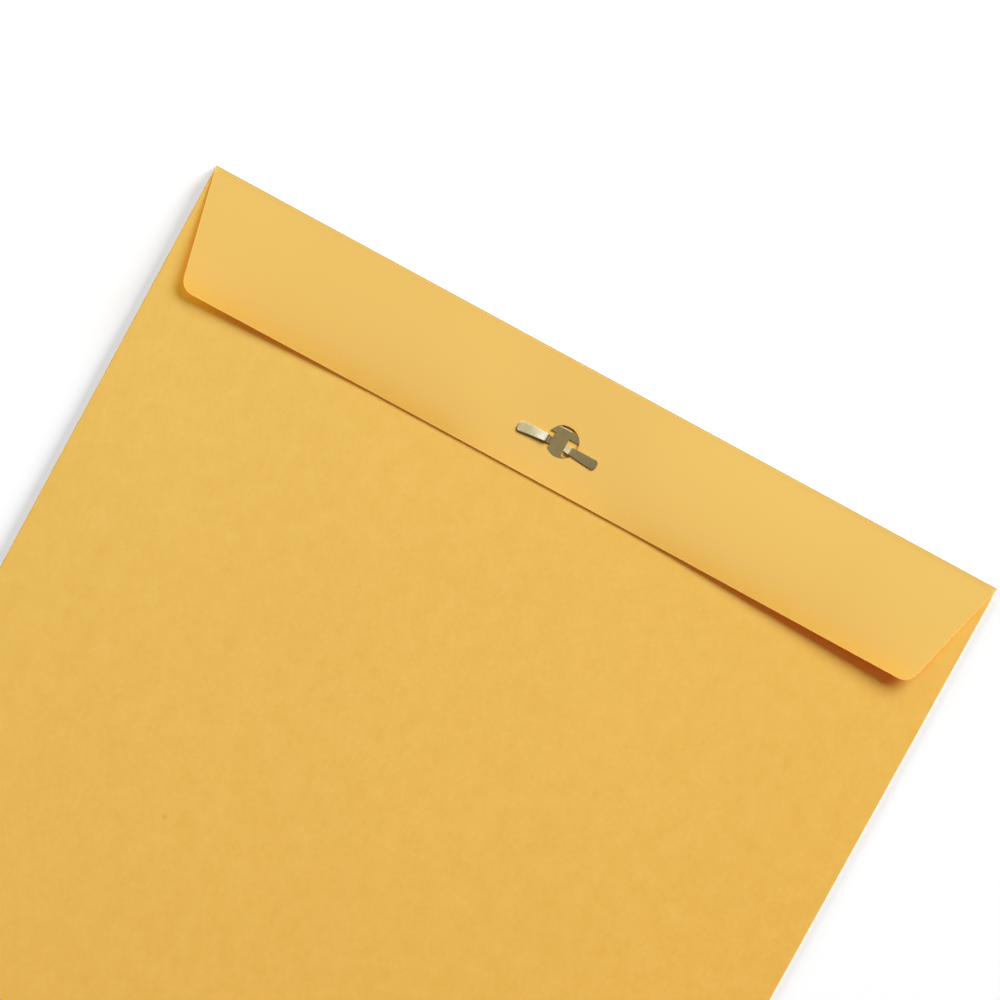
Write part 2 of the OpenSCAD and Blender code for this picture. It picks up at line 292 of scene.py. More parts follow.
def side_folds_and_back(sheet):
    """Both side folds, and the two back panels that meet in the centre seam."""
    half = BODY_W / 2 - SIDE_R
    pick(sheet, "EDGE", lambda p: near(p.x, half))
    turn_fold((half, 0, SIDE_R), (0, -1, 0))
    press_fold(sheet, lambda p: p.x > half, 0, (half, SIDE_R), SIDE_R)
    for _ in range(BACK_COLUMNS):
        draw_out(((SEAM_EDGE - half) / BACK_COLUMNS, 0, 0))
    pick(sheet, "EDGE", lambda p: near(p.x, -half) and near(p.z, 0))
    turn_fold((-half, 0, SIDE_R), (0, 1, 0))
    press_fold(sheet, lambda p: p.x < -half, 0, (-half, SIDE_R), SIDE_R)
    for _ in range(BACK_COLUMNS):
        draw_out(((half + SEAM_EDGE - SEAM_STEP) / BACK_COLUMNS, 0, 0))
    draw_out((SEAM_STEP, 0, -PAPER_T - HAIR))
    draw_out((SEAM_OVERLAP, 0, 0))


def end_fold(sheet, from_y, fold_y, radius, towards):
    """The strip of front past the back panels, and the fold that turns it over them."""
    half = BODY_W / 2 - SIDE_R
    pick(sheet, "EDGE", lambda p: near(p.y, from_y) and near(p.z, 0) and abs(p.x) < half + CLOSE)
    shoulder = SHOULDER * towards
    draw_out((0, shoulder, 0))
    bpy.ops.transform.resize(value=(FOLD_W / 2 / half, 1, 1))
    draw_out((0, fold_y - from_y - shoulder, 0))
    turn_fold((0, fold_y, radius), (towards, 0, 0))
    press_fold(sheet, lambda p: (p.y - fold_y) * towards > 0, 1, (fold_y, radius), radius)


def draw_flap(run, rows, taper, towards):
    """Draws the folded edge out into a flap, row by row."""
    last = 0
    for d in sorted(flap_stations(run, rows, CORNER_ROWS, taper) + [run - EDGE_BAND]):
        draw_out((0, (last - d) * towards, 0))
        last = d


def shape_flap(sheet, rows_where, fold_y, towards, run, tapers, height):
    """Gives a flap's straight rows their tapered outline, and lifts them to their height."""
    mesh = bmesh.from_edit_mesh(sheet.data)
    for v in mesh.verts:
        if not rows_where(v.co):
            continue
        d = (fold_y - v.co.y) * towards
        left = -tapered_half(FOLD_W / 2, run, tapers["left"], d)
        right = tapered_half(FOLD_W / 2, run, tapers["right"], d)
        column = round((v.co.x / FOLD_W + 0.5) * FRONT_COLUMNS)
        if column == 0:
            share = 0
        elif column == FRONT_COLUMNS:
            share = 1
        else:
            band = EDGE_BAND / (right - left)
            share = band + (1 - 2 * band) * (column - 1) / (FRONT_COLUMNS - 2)
        v.co.x = left + (right - left) * share
        v.co.z = height(v.co.x, d)
    bmesh.update_edit_mesh(sheet.data)


def top_flap(sheet):
    end_fold(sheet, MOUTH_Y, TOP_FOLD_Y, TOP_R, 1)
    start_z = 2 * TOP_R
    pick(sheet, "EDGE", lambda p: near(p.z, start_z))
    draw_flap(FLAP_RUN, FLAP_ROWS, min(FLAP_TAPER.values()), 1)
    shape_flap(
        sheet, lambda p: near(p.z, start_z) and p.y < TOP_FOLD_Y - CLOSE,
        TOP_FOLD_Y, 1, FLAP_RUN, FLAP_TAPER, lambda x, d: BACK_Z + flap_under(x, d) + PAPER_T,
    )


def bottom_flap(sheet):
    end_fold(sheet, SLEEVE_Y, BOTTOM_FOLD_Y, BOTTOM_R, -1)
    start_z = 2 * BOTTOM_R
    pick(sheet, "EDGE", lambda p: near(p.z, start_z) and p.y < 0)
    draw_flap(BOTTOM_RUN, BOTTOM_ROWS, BOTTOM_TAPER, -1)
    tapers = {"left": BOTTOM_TAPER, "right": BOTTOM_TAPER}
    shape_flap(
        sheet, lambda p: near(p.z, start_z) and BOTTOM_FOLD_Y + CLOSE < p.y < 0,
        BOTTOM_FOLD_Y, -1, BOTTOM_RUN, tapers, lambda x, d: start_z + HAIR,
    )


def swell_back(sheet):
    """Lets the back panels lie a little unevenly, as thin paper does."""
    mesh = bmesh.from_edit_mesh(sheet.data)
    for v in mesh.verts:
        if near(v.co.z, BACK_Z) and abs(v.co.x) < BODY_W / 2 - SIDE_R:
            v.co.z += panel_swell(v.co.x, v.co.y)
    bmesh.update_edit_mesh(sheet.data)


def apply_modifiers(piece):
    clear_selection()
    piece.select_set(True)
    bpy.context.view_layer.objects.active = piece
    for modifier in list(piece.modifiers):
        bpy.ops.object.modifier_apply(modifier=modifier.name)


def cut_away(piece, cutters):
    """Cuts the shapes out of a piece and deletes them."""
    for cutter in cutters:
        modifier = piece.modifiers.new("cut", "BOOLEAN")
        modifier.operation = "DIFFERENCE"
        modifier.solver = "EXACT"
        modifier.object = cutter
    apply_modifiers(piece)
    for cutter in cutters:
        bpy.data.objects.remove(cutter)


def hole_punch():
    clear_selection()
    bpy.ops.mesh.primitive_cylinder_add(
        vertices=96, radius=HOLE_D / 2, depth=PUNCH_DEPTH,
        location=(HOLE_X, TOP_Y - HOLE_FROM_FOLD, BACK_Z + PUNCH_CLEAR + PUNCH_DEPTH / 2),
    )
    bpy.ops.object.transform_apply(location=True, rotation=True, scale=True)
    return bpy.context.object


def slit_punch(side):
    clear_selection()
    place = (CLASP_X, CLASP_Y + side * (PLATE_H / 2 + TANG_R / 2), BACK_Z)
    bpy.ops.mesh.primitive_cube_add(size=1, location=place)
    bpy.ops.transform.resize(value=(TANG_W + 2 * SLIT_CLEAR, TANG_R + 2 * SLIT_CLEAR, SLIT_PUNCH_DEPTH))
    bpy.ops.object.transform_apply(location=True, rotation=True, scale=True)
    return bpy.context.object


def kraft_envelope():
    """The one sheet: folded up from its front panel, given its thickness, and punched."""
    sheet = front_panel()
    side_folds_and_back(sheet)
    top_flap(sheet)
    bottom_flap(sheet)
    swell_back(sheet)
    bpy.ops.mesh.select_all(action="SELECT")
    bpy.ops.mesh.remove_doubles(threshold=CLOSE)
    bpy.ops.mesh.normals_make_consistent(inside=False)
    bpy.ops.object.mode_set(mode="OBJECT")
    thick = sheet.modifiers.new("thickness", "SOLIDIFY")
    thick.thickness = PAPER_T
    thick.offset = -1
    thick.use_even_offset = True
    apply_modifiers(sheet)
    cut_away(sheet, [hole_punch(), slit_punch(-1), slit_punch(1)])
    clear_selection()
    sheet.select_set(True)
    bpy.context.view_layer.objects.active = sheet
    bpy.ops.object.shade_smooth_by_angle(angle=PAPER_SMOOTH)
    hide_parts("envelope")
    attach(sheet, "root")
    return sheet


def plate_outline(clasp):
    """The plate's two lobes and web as one face, with round lobes and filleted notches."""
    notch = PLATE_H / 2 - LOBE_H
    across = [-LOBE_W / 2, -TANG_W / 2, -WEB_W / 2, WEB_W / 2, TANG_W / 2, LOBE_W / 2]
    up = [-PLATE_H / 2, -notch, -ROOT_W / 2, ROOT_W / 2, notch, PLATE_H / 2]
    mesh = bmesh.from_edit_mesh(clasp.data)
    for v in mesh.verts:
        v.co.x = across[round((v.co.x + 0.5) * 5)]
        v.co.y = up[round((v.co.y + 0.5) * 5)]
    bmesh.update_edit_mesh(clasp.data)
    for side in (1, -1):
        pick(clasp, "FACE", lambda p: p.x * side > WEB_W / 2 - TINY and abs(p.y) < notch + TINY)
        bpy.ops.mesh.delete(type="FACE")
    bpy.ops.mesh.select_all(action="SELECT")
    bpy.ops.mesh.dissolve_faces()
    pick(clasp, "VERT", lambda p: near(abs(p.x), LOBE_W / 2, TINY))
    bpy.ops.mesh.bevel(offset=LOBE_R, segments=8, affect="VERTICES")
    pick(clasp, "VERT", lambda p: near(abs(p.x), WEB_W / 2, TINY) and near(abs(p.y), notch, TINY))
    bpy.ops.mesh.bevel(offset=NOTCH_R, segments=6, affect="VERTICES")


def tangs(clasp):
    """The two tangs bend down over the plate's edges, and are clinched under the back."""
    middle_z = CLASP_T - TANG_R
    slant = math.asin((-2 * PAPER_T - middle_z) / (TANG_R - CLASP_T))
    reach, drop = TANG_R * math.cos(slant), TANG_R * math.sin(slant) + middle_z
    for side in (1, -1):
        edge = side * PLATE_H / 2
        pick(clasp, "EDGE", lambda p: near(p.y, edge, TINY) and abs(p.x) < TANG_W / 2 + TINY)
        turn_fold((0, edge, middle_z), (side, 0, 0), slant - math.pi / 2)
        draw_out((0, 0, -2 * PAPER_T - CLASP_T - drop))
        draw_out((0, -side * (FOOT_L + reach), 0))


def prong_half_width(s, crest):
    """Half width of a prong at distance s from the clasp's centre."""
    if s <= WEB_W / 2:
        return ROOT_W / 2
    bend = PRONG_REACH - TIP_R
    if s > bend:
        return TIP_W / 2 - TIP_R + math.sqrt(max(0, TIP_R**2 - (s - bend) ** 2))
    crest_half = ROOT_W / 2 + (TIP_W - ROOT_W) / 2 * crest / PRONG_REACH
    if s < crest:
        return ROOT_W / 2 + (crest_half - ROOT_W / 2) * (s - WEB_W / 2) / (crest - WEB_W / 2)
    return crest_half + (TIP_W / 2 - crest_half) * (s - crest) / (bend - crest)


def climb_share(q):
    """Share of the way up from web to crest, level at both ends."""
    return q * q * (3 - 2 * q)


def lie_share(q):
    """Share of the way down from crest to tip, steeper behind the crest."""
    return 0.55 * q + 0.45 * (1 - (1 - q) ** 4)


def flap_top(x, y):
    """Height of the flap's upper side above the back."""
    return flap_under(x, TOP_FOLD_Y - y) + PAPER_T


def prong_heights(form):
    """Heights of a prong's underside over the back, at its crest and at its tip."""
    side, crest = form["side"], form["climb_to"]
    hole_y = TOP_Y - HOLE_FROM_FOLD
    rim = math.sqrt((HOLE_D / 2) ** 2 - (hole_y - CLASP_Y + TIP_W / 2) ** 2) + side * (HOLE_X - CLASP_X)
    share = climb_share(min(1, (rim - WEB_W / 2) / (crest - WEB_W / 2)))
    crest_z = (flap_top(CLASP_X + side * rim, CLASP_Y) + form["crest_gap"]) / share
    tip_z = flap_top(CLASP_X + side * PRONG_REACH, CLASP_Y + TIP_W / 2) + form["tip_gap"]
    return crest_z, tip_z


PRONG_CUTS = 9
CLIMB_STEPS = 14
LIE_STEPS = 12
TIP_STEPS = 8


def prong(clasp, form):
    """A prong leaves the web, climbs through the hole, bends over its crest and lies on the flap."""
    side, crest = form["side"], form["crest"]
    foot = WEB_W / 2
    crest_z, tip_z = prong_heights(form)

    def at_root(p):
        return near(p.x, side * foot, TINY) and abs(p.y) < ROOT_W / 2 + TINY

    pick(clasp, "EDGE", at_root)
    bpy.ops.mesh.subdivide(number_cuts=PRONG_CUTS)
    pick(clasp, "EDGE", at_root)
    bend = PRONG_REACH - TIP_R
    climb = [foot + (crest - foot) * (i + 1) / CLIMB_STEPS for i in range(CLIMB_STEPS)]
    lie = [crest + (bend - crest) * (i + 1) / LIE_STEPS for i in range(LIE_STEPS)]
    tip = [bend + TIP_R * math.sin(math.pi / 2 * (i + 1) / TIP_STEPS) for i in range(TIP_STEPS)]
    last = foot
    for s in climb + lie + tip:
        draw_out((side * (s - last), 0, 0))
        last = s
    mesh = bmesh.from_edit_mesh(clasp.data)
    for v in mesh.verts:
        s = v.co.x * side
        if s < foot + TINY or abs(v.co.y) > ROOT_W / 2 + TINY:
            continue
        across = v.co.y / (ROOT_W / 2)
        if s < crest:
            q = (s - foot) / (crest - foot)
            slope = crest_z * 6 * q * (1 - q) / (crest - foot)
            z = crest_z * climb_share(q) + CLASP_T * math.sqrt(1 + slope * slope)
            middle = form["crest_shift"] * q
        else:
            q = (s - crest) / (PRONG_REACH - crest)
            z = crest_z + (tip_z - crest_z) * lie_share(q) + CLASP_T
            middle = form["crest_shift"] + (form["tip_shift"] - form["crest_shift"]) * q
        half = prong_half_width(s, crest)
        turned = min(1, max(0, (s - foot) / (crest - foot)))
        v.co.y = middle + across * half
        v.co.z = z - across * half * math.tan(math.radians(form["twist"])) * turned
    bmesh.update_edit_mesh(clasp.data)


def tinned_clasp():
    """The stamped clasp: drawn as the upper face of its sheet, then given the sheet's thickness."""
    clear_selection()
    bpy.ops.mesh.primitive_grid_add(x_subdivisions=5, y_subdivisions=5, size=1)
    clasp = bpy.context.object
    clasp.name = "stamped_clasp"
    clasp.data.name = "stamped_clasp"
    bpy.ops.object.mode_set(mode="EDIT")
    plate_outline(clasp)
    bpy.ops.mesh.select_all(action="SELECT")
    bpy.ops.transform.translate(value=(0, 0, CLASP_T))
    for form in PRONGS.values():
        prong(clasp, form)
    tangs(clasp)
    bpy.ops.mesh.select_all(action="SELECT")
    bpy.ops.mesh.remove_doubles(threshold=TINY)
    bpy.ops.transform.translate(value=(CLASP_X, CLASP_Y, BACK_Z))
    bpy.ops.mesh.normals_make_consistent(inside=False)
    bpy.ops.object.mode_set(mode="OBJECT")
    thick = clasp.modifiers.new("thickness", "SOLIDIFY")
    thick.thickness = CLASP_T
    thick.offset = -1
    thick.use_even_offset = True
    rim = clasp.modifiers.new("stamped_rim", "BEVEL")
    rim.width = RIM_ROUND
    rim.segments = 2
    rim.limit_method = "ANGLE"
    rim.angle_limit = math.radians(60)
    apply_modifiers(clasp)
    bpy.ops.object.shade_smooth_by_angle(angle=METAL_SMOOTH)
    flat_first = clasp.modifiers.new("flat_first", "WEIGHTED_NORMAL")
    flat_first.keep_sharp = True
    apply_modifiers(clasp)
    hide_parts("clasp")
    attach(clasp, "root")
    return clasp


def mark_top_flap(sheet):
    """Writes where the sheet is the top flap, its cut edge, which gets a painted highlight, and its fold,
    which gets painted shade, for the paper's finish.
    """
    flap = sheet.data.attributes.new("top_flap", "FLOAT", "POINT")
    edge = sheet.data.attributes.new("cut_edge_highlight", "FLOAT", "POINT")
    fold = sheet.data.attributes.new("top_fold_shade", "FLOAT", "POINT")
    for v, on_flap, at_edge_highlight, at_fold_shade in zip(sheet.data.vertices, flap.data, edge.data, fold.data):
        # Where the top fold's rim gets painted shade.
        at_fold_shade.value = v.co.y > TOP_Y - 0.2 * TOP_R
        d = TOP_FOLD_Y - v.co.y
        if d > FLAP_RUN + CLOSE or v.co.z < BACK_Z + FLAP_CLEAR / 2:
            continue
        on_flap.value = 1
        left = v.co.x + tapered_half(FOLD_W / 2, FLAP_RUN, FLAP_TAPER["left"], min(d, FLAP_RUN))
        right = tapered_half(FOLD_W / 2, FLAP_RUN, FLAP_TAPER["right"], min(d, FLAP_RUN)) - v.co.x
        if d > 0:
            # How strongly the cut edge gets its painted highlight.
            at_edge_highlight.value = max(0, 1 - min(left, right, FLAP_RUN - d) / EDGE_BAND)


def group_of(name, pieces):
    """A collection that a lamp can be kept to."""
    group = bpy.data.collections.new(name)
    for piece in pieces:
        group.objects.link(piece)
    return group


def soft_light(name, aim, turn, rise, far, size, power, lights_only):
    """An oval softbox, far from its aim at a turn from +X and a rise over the table, in degrees."""
    data = bpy.data.lights.new(name, "AREA")
    data.shape = "ELLIPSE"
    data.size, data.size_y = size
    data.energy = power
    lamp = bpy.data.objects.new(name, data)
    aim = Vector(aim)
    turn, rise = math.radians(turn), math.radians(rise)
    away = Vector((math.cos(rise) * math.cos(turn), math.cos(rise) * math.sin(turn), math.sin(rise)))
    lamp.location = aim + far * away
    lamp.rotation_euler = away.to_track_quat("Z", "Y").to_euler()
    bpy.context.collection.objects.link(lamp)
    lamp.light_linking.receiver_collection = lights_only
    lamp.visible_glossy = False  # metal mirrors the surround alone


def studio(envelope_group, table_group):
    """A wide key from the upper right for the envelope, and two soft lamps for the table's shadows."""
    soft_light(
        "key", aim=(0, 0.1, 0), turn=67, rise=28, far=5, size=(5, 2), power=510, lights_only=envelope_group,
    )
    soft_light(
        "side", aim=(0, 0.1, 0), turn=148, rise=34, far=2.4, size=(1.2, 1.2), power=5,
        lights_only=envelope_group,
    )
    soft_light(
        "table_low", aim=(-0.1, 0.1, 0), turn=63, rise=6.3, far=4, size=(2.2, 0.8), power=655,
        lights_only=table_group,
    )
    soft_light(
        "table_side", aim=(0.1, 0.1, 0), turn=165, rise=19, far=2, size=(1.6, 1), power=27,
        lights_only=table_group,
    )


ROOM_LIGHT = 0.07
TO_THE_LEFT = (-0.98, 0.15, 0)

# The room that metal mirrors, from the right (-1) to the left (1)
MIRRORED_ROOM = [
    (-1, (0.4, 0.36, 0.28)),
    (-0.5, (0.15, 0.1, 0.05)),
    (-0.065, (0.17, 0.11, 0.03)),
    (-0.03, (0.31, 0.24, 0.12)),
    (0, (0.34, 0.265, 0.14)),
    (0.018, (0.78, 0.7, 0.38)),
    (0.07, (0.7, 0.62, 0.33)),
    (0.1, (1, 0.99, 0.92)),
    (0.13, (1.4, 1.4, 1.5)),
    (0.3, (1, 0.95, 0.85)),
    (0.5, (0.95, 0.8, 0.55)),
    (1, (0.9, 0.7, 0.4)),
]


def colour_bands(nodes, bands):
    """A colour ramp with the given bands, each a place from 0 to 1 and a colour."""
    ramp = nodes.new("ShaderNodeValToRGB")
    elements = ramp.color_ramp.elements
    while len(elements) < len(bands):
        elements.new(0.5)
    for element, (place, colour) in zip(elements, bands):
        element.position = place
        element.color = (*colour, 1)
    return ramp


def studio_surround():
    """Even room light. Metal sees a white room to the left, and a dim warm one to the right."""
    world = bpy.data.worlds.new("surround")
    bpy.context.scene.world = world
    world.use_nodes = True
    nodes, links = world.node_tree.nodes, world.node_tree.links
    nodes.clear()
    out = nodes.new("ShaderNodeOutputWorld")
    path = nodes.new("ShaderNodeLightPath")

    seen = nodes.new("ShaderNodeBackground")
    seen.inputs["Color"].default_value = (1, 1, 1, 1)
    room = nodes.new("ShaderNodeBackground")
    room.inputs["Color"].default_value = (1, 1, 1, 1)
    room.inputs["Strength"].default_value = ROOM_LIGHT
    mirrored = nodes.new("ShaderNodeBackground")

    way = nodes.new("ShaderNodeTexCoord")
    to_left = nodes.new("ShaderNodeVectorMath")
    to_left.operation = "DOT_PRODUCT"
    to_left.inputs[1].default_value = TO_THE_LEFT
    spread = nodes.new("ShaderNodeMapRange")
    spread.inputs["From Min"].default_value = -1
    ceiling = colour_bands(nodes, [((place + 1) / 2, colour) for place, colour in MIRRORED_ROOM])
    links.new(way.outputs["Generated"], to_left.inputs[0])
    links.new(to_left.outputs["Value"], spread.inputs["Value"])
    links.new(spread.outputs["Result"], ceiling.inputs["Fac"])
    links.new(ceiling.outputs["Color"], mirrored.inputs["Color"])

    for_metal = nodes.new("ShaderNodeMixShader")
    for_camera = nodes.new("ShaderNodeMixShader")
    links.new(path.outputs["Is Glossy Ray"], for_metal.inputs["Fac"])
    links.new(room.outputs["Background"], for_metal.inputs[1])
    links.new(mirrored.outputs["Background"], for_metal.inputs[2])
    links.new(path.outputs["Is Camera Ray"], for_camera.inputs["Fac"])
    links.new(for_metal.outputs["Shader"], for_camera.inputs[1])
    links.new(seen.outputs["Background"], for_camera.inputs[2])
    links.new(for_camera.outputs["Shader"], out.inputs["Surface"])


TABLE_SIZE = 12
TABLE_DROP = 0.02 * MM
TABLE_WHITE = (0.86, 0.86, 0.86, 1)
TABLE_GLOW = 0.385


def white_table():
    """A white table that the camera sees as pure white, apart from the envelope's shadow."""
    clear_selection()
    bpy.ops.mesh.primitive_plane_add(size=TABLE_SIZE, location=(0, 0, -TABLE_DROP))
    table = bpy.context.object
    table.name = "table"
    material = bpy.data.materials.new("table_white")
    material.use_nodes = True
    nodes, links = material.node_tree.nodes, material.node_tree.links
    nodes.clear()
    out = nodes.new("ShaderNodeOutputMaterial")
    board = nodes.new("ShaderNodeBsdfDiffuse")
    board.inputs["Color"].default_value = TABLE_WHITE
    bright = nodes.new("ShaderNodeEmission")
    bright.inputs["Strength"].default_value = TABLE_GLOW
    dark = nodes.new("ShaderNodeEmission")
    dark.inputs["Strength"].default_value = 0
    path = nodes.new("ShaderNodeLightPath")
    gate = nodes.new("ShaderNodeMixShader")
    both = nodes.new("ShaderNodeAddShader")
    links.new(path.outputs["Is Camera Ray"], gate.inputs["Fac"])
    links.new(dark.outputs["Emission"], gate.inputs[1])
    links.new(bright.outputs["Emission"], gate.inputs[2])
    links.new(board.outputs["BSDF"], both.inputs[0])
    links.new(gate.outputs["Shader"], both.inputs[1])
    links.new(both.outputs["Shader"], out.inputs["Surface"])
    table.data.materials.append(material)
    return table


class Finish:
    """A material on the piece's own coordinates, with short ways to its noises and mixes."""

    def __init__(self, name):
        self.material = bpy.data.materials.new(name)
        self.material.use_nodes = True
        self.nodes = self.material.node_tree.nodes
        self.links = self.material.node_tree.links
        self.shader = self.nodes["Principled BSDF"]
        self.place = self.nodes.new("ShaderNodeTexCoord").outputs["Object"]

    def grain(self, grain_mm, detail=3, seed=0):
        """Noise from 0 to 1 with grains of about the given sizes along X, Y and Z."""
        stretch = self.nodes.new("ShaderNodeMapping")
        stretch.inputs["Scale"].default_value = [1 / (g * MM) for g in grain_mm]
        stretch.inputs["Location"].default_value = (seed * 7.3, seed * 3.1, seed * 1.7)
        noise = self.nodes.new("ShaderNodeTexNoise")
        noise.inputs["Scale"].default_value = 1
        noise.inputs["Detail"].default_value = detail
        self.links.new(self.place, stretch.inputs["Vector"])
        self.links.new(stretch.outputs["Vector"], noise.inputs["Vector"])
        return noise.outputs["Fac"]

    def ramp(self, value, low, high, out_low=0.0, out_high=1.0):
        """Maps a value's range onto another one, cut off at both ends."""
        node = self.nodes.new("ShaderNodeMapRange")
        ends = {"From Min": low, "From Max": high, "To Min": out_low, "To Max": out_high}
        for name, number in ends.items():
            node.inputs[name].default_value = number
        self.links.new(value, node.inputs["Value"])
        return node.outputs["Result"]

    def mark(self, name):
        """The value that the mesh carries under a name."""
        node = self.nodes.new("ShaderNodeAttribute")
        node.attribute_name = name
        return node.outputs["Fac"]

    def along(self, axis):
        node = self.nodes.new("ShaderNodeSeparateXYZ")
        self.links.new(self.place, node.inputs["Vector"])
        return node.outputs[axis]

    def arithmetic(self, operation, first, second):
        node = self.nodes.new("ShaderNodeMath")
        node.operation = operation
        self.links.new(first, node.inputs[0])
        self.links.new(second, node.inputs[1])
        return node.outputs["Value"]

    def sum(self, first, second):
        return self.arithmetic("ADD", first, second)

    def product(self, first, second):
        return self.arithmetic("MULTIPLY", first, second)

    def blend(self, share, first, second):
        """Goes from the first colour to the second one as the share goes from 0 to 1."""
        node = self.nodes.new("ShaderNodeMix")
        node.data_type = "RGBA"
        self.links.new(share, node.inputs["Factor"])
        for name, colour in (("A", first), ("B", second)):
            if isinstance(colour, tuple):
                node.inputs[name].default_value = colour
            else:
                self.links.new(colour, node.inputs[name])
        return node.outputs["Result"]

    def lift(self, colour, share, step):
        """Adds a share of a step to a colour. A share below 0 darkens it."""
        node = self.nodes.new("ShaderNodeVectorMath")
        node.operation = "MULTIPLY_ADD"
        self.links.new(share, node.inputs[0])
        node.inputs[1].default_value = step
        self.links.new(colour, node.inputs[2])
        return node.outputs["Vector"]

    def bump(self, height, depth):
        node = self.nodes.new("ShaderNodeBump")
        node.inputs["Distance"].default_value = depth
        node.inputs["Strength"].default_value = 1
        self.links.new(height, node.inputs["Height"])
        self.links.new(node.outputs["Normal"], self.shader.inputs["Normal"])


# The kraft's colours: the body and the flap's ends run from a deep to a pale tone, painted paler towards
# the upper left as light falloff. The flap carries painted sheen and light, its cut edges a painted
# highlight and its top fold painted shade.
BODY_SHADE_AND_TONE = srgb(238, 182, 83), srgb(240, 196, 100)
# The top flap is painted paler than the body as sheen, and painted darker at its ends as shade against the
# light that its lifted corners catch.
FLAP_END_SHEEN_AND_SHADE = srgb(221, 180, 95), srgb(234, 191, 102)
FLAP_MIDDLE_SHEEN = srgb(235, 192, 103)
# Tones of the flap by its free edge, by the clasp and away from it, painted to stand in for the light and
# shade of the flap's belly.
FREE_EDGE_LIGHT_AND_SHADE_TONES = srgb(240, 189, 85), srgb(240, 195, 99)
# A painted highlight along the flap's cut edges.
CUT_EDGE_HIGHLIGHT = srgb(250, 205, 118)
# Painted shade on the top fold's rim, against the light that its round fold catches.
FOLD_PAINTED_SHADE = srgb(160, 127, 68)
FLECK = srgb(150, 95, 40)
MOTTLE_STEP = (0.068, 0.067, 0.038)
# Painted light added to the flap towards its free edge.
FREE_EDGE_PAINTED_LIGHT = (0.076, 0.015, 0)

# Flecks pressed into the back: x, y, radius and strength
FLECKS = [(-30.2, 74.2, 0.35, 0.35), (-46.1, -2.8, 0.9, 0.25), (50.1, 70.8, 0.3, 0.3)]

# What the top flap lets through, from left to right: x and colour
LIGHT_THROUGH_FLAP = [
    (-105, (0.72, 0.62, 0.2)),
    (-88, (0.54, 0.36, 0.02)),
    (30, (0.5, 0.35, 0.01)),
    (70, (0.5, 0.26, 0)),
    (104.5, (0.5, 0.26, 0)),
    (108.5, (0.78, 0.68, 0.42)),
]


def painted_light_falloff(paper):
    """Painted light: how pale the sheet is painted, more so towards its upper left, where light and sheen
    are stronger.
    """
    to_left = paper.ramp(paper.along("X"), 0.114, -0.114, 0, 0.5)
    to_top = paper.ramp(paper.along("Y"), -0.06, 0.12, 0, 0.4)
    return paper.sum(to_left, to_top)


def kraft_mottle(paper):
    """The mottling of clouds, flocks and short fibres, some of them darker, and the fibres' felt alone."""
    clouds = paper.ramp(paper.grain((5, 6, 5), detail=2), 0.2, 0.8, -0.23, 0.23)
    flocks = paper.ramp(paper.grain((1.5, 1.8, 1.5), detail=2, seed=4), 0.2, 0.8, -0.25, 0.25)
    fibres = paper.grain((0.25, 0.9, 0.25), detail=2, seed=1)
    cross_fibres = paper.grain((0.9, 0.25, 0.25), detail=2, seed=2)
    felt = paper.sum(fibres, cross_fibres)
    mottle = paper.sum(paper.sum(clouds, flocks), paper.ramp(felt, 0.4, 1.6, -0.2, 0.2))
    for strands in (fibres, cross_fibres):
        mottle = paper.sum(mottle, paper.ramp(strands, 0.27, 0.37, -0.38, 0))
    return mottle, felt


def kraft_colour(paper, flap, mottle):
    """The body's tone with painted light falloff, a top flap painted paler as sheen with painted light
    towards its free edge, a painted highlight on cut edges and painted shade on the top fold.
    """
    lean = painted_light_falloff(paper)
    warmth = paper.ramp(paper.grain((5, 5, 5), detail=2, seed=7), 0.2, 0.8, -0.09, 0.09)
    across = paper.product(paper.along("X"), paper.along("X"))
    down = paper.along("Y")

    # The body's deep-to-pale blend is painted light falloff from the upper left, plus random warmth.
    body = paper.blend(paper.sum(lean, warmth), *BODY_SHADE_AND_TONE)
    # On the flap, the ground takes the painted free-edge tones, one by the clasp and one away from it.
    by_clasp = paper.ramp(across, 0.035**2, 0.02**2)
    ground = paper.blend(flap, body, paper.blend(by_clasp, *FREE_EDGE_LIGHT_AND_SHADE_TONES))
    ground = paper.lift(ground, mottle, MOTTLE_STEP)

    # The flap's painted sheen, palest by the clasp, with painted shade at its ends and the same painted
    # falloff.
    middle = paper.ramp(across, 0.08**2, 0.03**2)
    pale = paper.blend(middle, paper.blend(lean, *FLAP_END_SHEEN_AND_SHADE), FLAP_MIDDLE_SHEEN)
    # Towards its free edge the flap goes back to that painted ground, and painted light is added there.
    past_edge = paper.ramp(down, TOP_Y - FLAP_DEPTH, TOP_Y - 0.8 * FLAP_DEPTH, 0.1, 1)
    colour = paper.blend(paper.product(flap, past_edge), ground, pale)
    to_free_edge = paper.ramp(down, TOP_Y - 0.45 * FLAP_DEPTH, TOP_Y - FLAP_DEPTH)
    colour = paper.lift(colour, paper.product(flap, to_free_edge), FREE_EDGE_PAINTED_LIGHT)

    # The flap's cut edges get a painted highlight.
    colour = paper.blend(paper.ramp(paper.mark("cut_edge_highlight"), 0, 1, 0, 0.8), colour, CUT_EDGE_HIGHLIGHT)
    # The top fold's rim gets painted shade.
    return paper.blend(paper.mark("top_fold_shade"), colour, FOLD_PAINTED_SHADE)


def flecked(paper, colour):
    for x, y, radius, strength in FLECKS:
        apart = paper.nodes.new("ShaderNodeVectorMath")
        apart.operation = "DISTANCE"
        apart.inputs[1].default_value = (x * MM, y * MM, BACK_Z)
        paper.links.new(paper.place, apart.inputs[0])
        fleck = paper.ramp(apart.outputs["Value"], radius * MM, 0, 0, strength)
        colour = paper.blend(fleck, colour, FLECK)
    return colour


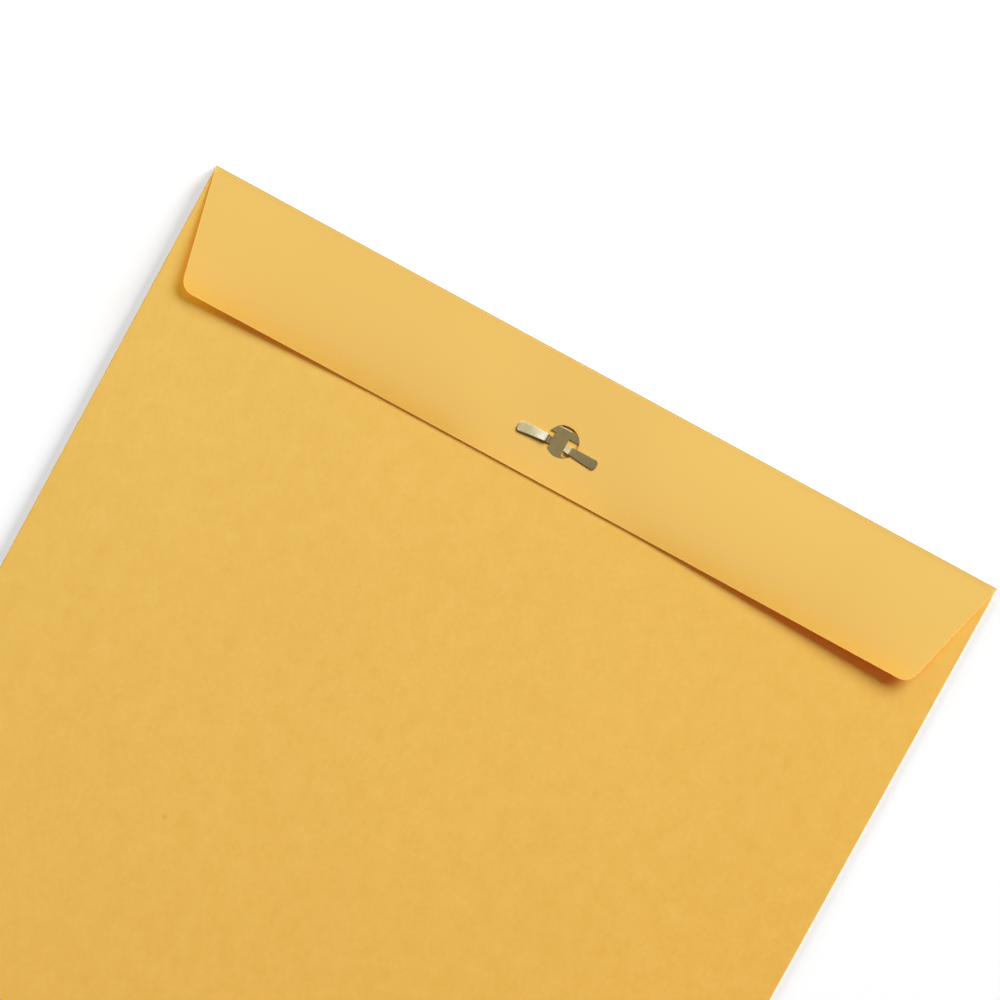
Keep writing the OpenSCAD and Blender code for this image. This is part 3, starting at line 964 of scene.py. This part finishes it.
def light_through_flap(paper, flap):
    """Lets a little of the lamps' light through the top flap, so that its shadow glows."""
    bands = [(x * MM / BODY_W + 0.5, colour) for x, colour in LIGHT_THROUGH_FLAP]
    along_flap = colour_bands(paper.nodes, bands)
    paper.links.new(paper.ramp(paper.along("X"), -BODY_W / 2, BODY_W / 2), along_flap.inputs["Fac"])
    through = paper.nodes.new("ShaderNodeBsdfTransparent")
    paper.links.new(along_flap.outputs["Color"], through.inputs["Color"])
    path = paper.nodes.new("ShaderNodeLightPath")
    gate = paper.nodes.new("ShaderNodeMixShader")
    paper.links.new(paper.product(path.outputs["Is Shadow Ray"], flap), gate.inputs["Fac"])
    paper.links.new(paper.shader.outputs["BSDF"], gate.inputs[1])
    paper.links.new(through.outputs["BSDF"], gate.inputs[2])
    paper.links.new(gate.outputs["Shader"], paper.nodes["Material Output"].inputs["Surface"])


def kraft_paper():
    """Kraft paper: mottled, felted and flecked, and a little light passes through its top flap."""
    paper = Finish("kraft_paper")
    paper.shader.inputs["Roughness"].default_value = 0.8
    paper.shader.inputs["Specular IOR Level"].default_value = 0.12
    flap = paper.mark("top_flap")
    mottle, felt = kraft_mottle(paper)
    colour = flecked(paper, kraft_colour(paper, flap, mottle))
    paper.links.new(colour, paper.shader.inputs["Base Color"])
    paper.bump(felt, 0.004 * MM)
    light_through_flap(paper, flap)
    return paper.material


BRIGHT_TIN = (0.82, 0.79, 0.66, 1)
DULL_TIN = (0.74, 0.70, 0.56, 1)


def tinned_steel():
    """Bright tinned sheet with the fine lines of its rolling, a little dulled in places."""
    tin = Finish("tinned_steel")
    tin.shader.inputs["Metallic"].default_value = 1
    rolling = tin.grain((0.06, 4, 0.06), detail=2)
    dull = tin.grain((1.6, 1.6, 1.6), detail=2, seed=3)
    colour = tin.blend(tin.ramp(dull, 0.35, 0.65), BRIGHT_TIN, DULL_TIN)
    roughness = tin.sum(tin.ramp(rolling, 0.3, 0.7, 0.12, 0.17), tin.ramp(dull, 0.35, 0.65, 0, 0.04))
    tin.links.new(colour, tin.shader.inputs["Base Color"])
    tin.links.new(roughness, tin.shader.inputs["Roughness"])
    tin.bump(rolling, 0.002 * MM)
    return tin.material


photo_camera()
sheet = kraft_envelope()
mark_top_flap(sheet)
sheet.data.materials.clear()
sheet.data.materials.append(kraft_paper())
clasp = tinned_clasp()
clasp.data.materials.clear()
clasp.data.materials.append(tinned_steel())
table = white_table()
studio(group_of("envelope_and_clasp", [sheet, clasp]), group_of("table_alone", [table]))
studio_surround()
bpy.context.scene.view_settings.view_transform = "Standard"
